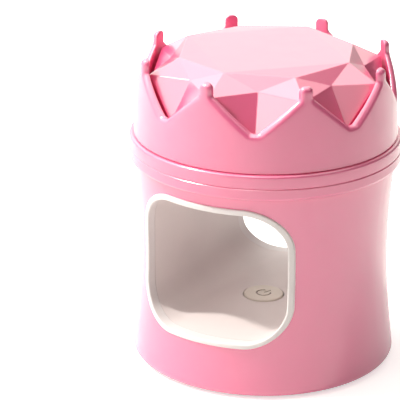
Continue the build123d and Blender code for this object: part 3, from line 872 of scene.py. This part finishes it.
def floor_material():
    """Pale matt floor that reads as white and keeps a shadow."""
    material, tree, shader, coords = surface("studio_floor")
    tint = blend_colours(tree, noise(tree, coords, 0.2), "Fac", srgb(246, 245, 243), srgb(243, 242, 240))
    tree.links.new(colour_out(tint), shader.inputs["Base Color"])
    shader.inputs["Roughness"].default_value = 0.9
    shader.inputs["Specular IOR Level"].default_value = 0.1
    shader.inputs["Emission Color"].default_value = (1, 1, 1, 1)
    glow = seen_directly(tree, floor_glow, floor_glow_in_gloss)
    tree.links.new(glow, shader.inputs["Emission Strength"])
    return material


floor_size = 6.0
floor_glow = 0.6
floor_glow_in_gloss = 0.36
floor_mesh = bpy.data.meshes.new("studio_floor")
edge = floor_size / 2
floor_corners = [(-edge, -edge, 0), (edge, -edge, 0), (edge, edge, 0), (-edge, edge, 0)]
floor_mesh.from_pydata(floor_corners, [], [(0, 1, 2, 3)])
floor_mesh.materials.append(floor_material())
studio_floor = bpy.data.objects.new("studio_floor", floor_mesh)
bpy.context.scene.collection.objects.link(studio_floor)


def studio_world():
    """White room; in reflections it is darker on the right, and low down at the back."""
    world = bpy.data.worlds.new("studio")
    world.use_nodes = True
    tree = world.node_tree
    sky = tree.nodes["Background"]
    paths = tree.nodes.new("ShaderNodeLightPath")
    rays = paths.outputs
    tint = blend_colours(tree, paths, "Is Camera Ray", (*warm_white, 1), (1, 1, 1, 1))
    tree.links.new(colour_out(tint), sky.inputs["Color"])
    towards = tree.nodes.new("ShaderNodeSeparateXYZ")
    link(tree, tree.nodes.new("ShaderNodeTexCoord"), "Generated", towards, "Vector")
    x, y, z = towards.outputs
    started = stretch(tree, x, *back_start, 0, 1)
    behind = math_node(tree, "MULTIPLY", stretch(tree, y, *back_wall, 0, 1), started)
    missing = math_node(tree, "SUBTRACT", 1, stretch(tree, x, *back_middle, back_level, back_right_level))
    low_down = stretch(tree, z, *low_end, 1, 0)
    low_back = math_node(tree, "MULTIPLY", math_node(tree, "MULTIPLY", behind, missing), low_down)
    side = stretch(tree, x, *right_wall, 1, right_level)
    shade = math_node(tree, "MULTIPLY", side, math_node(tree, "SUBTRACT", 1, low_back))
    extra = math_node(tree, "MULTIPLY", from_gloss(tree, rays), seen_level - sky_light)
    room = math_node(tree, "MULTIPLY", math_node(tree, "ADD", extra, sky_light), shade)
    tree.links.new(math_node(tree, "MAXIMUM", rays["Is Camera Ray"], room), sky.inputs["Strength"])
    return world


warm_white = (1.0, 0.98, 0.9)
sky_light = 0.05
seen_level = 0.8
right_level = 0.25
back_level = 0.6
back_right_level = 0.08
# Where a shade begins and ends, as parts of a direction of length one.
right_wall = (0.05, 0.5)
back_wall = (0.4, 0.7)
back_start = (-0.45, -0.3)
back_middle = (-0.05, 0.2)
low_end = (0.14, 0.28)
bpy.context.scene.world = studio_world()
print("floor and sky ready")


# %% Lamps
def soft_lamp(name, azimuth, elevation, distance, size, power):
    """Square lamp facing the object; azimuth counts from the front, towards the right."""
    data = bpy.data.lights.new(name, "AREA")
    data.shape = "SQUARE"
    data.size = size
    data.energy = power
    data.color = warm_white
    lamp = bpy.data.objects.new(name, data)
    bpy.context.scene.collection.objects.link(lamp)
    turn = math.radians(azimuth)
    rise = math.radians(elevation)
    away = Vector((math.sin(turn) * math.cos(rise), -math.cos(turn) * math.cos(rise), math.sin(rise)))
    lamp.location = aim + away * distance
    lamp.rotation_mode = "QUATERNION"
    lamp.rotation_quaternion = (-away).to_track_quat("-Z", "Y")
    return lamp


soft_lamp("key", -60, 53, 1.2, 0.08, 10.7)
soft_lamp("high_left", -60, 70, 1.2, 0.8, 1.5)
soft_lamp("overhead", 160, 86, 1.1, 1.3, 4.8)
soft_lamp("left", -105, 34, 1.1, 1.1, 6.7)
soft_lamp("front_left", -50, 12, 1.2, 1.2, 6.2)
soft_lamp("low_left", -60, 30, 1.2, 0.5, 0.6)
soft_lamp("front", -20, 38, 1.4, 0.45, 2.0)
soft_lamp("right", 90, 45, 1.2, 0.5, 0.8)
soft_lamp("behind", 207, 25, 1.2, 0.9, 1.8)
panels = [
    soft_lamp("panel_above", 170, 75, 1.1, 0.9, 3.3),
    soft_lamp("panel_behind", 175, 33, 1.2, 0.6, 0.9),
    soft_lamp("panel_front", 10, 60, 1.2, 0.35, 2.0),
]
for panel in panels:
    panel.visible_diffuse = False
bpy.context.scene.view_settings.view_transform = "Standard"
print("lamps:", len(bpy.data.lights))
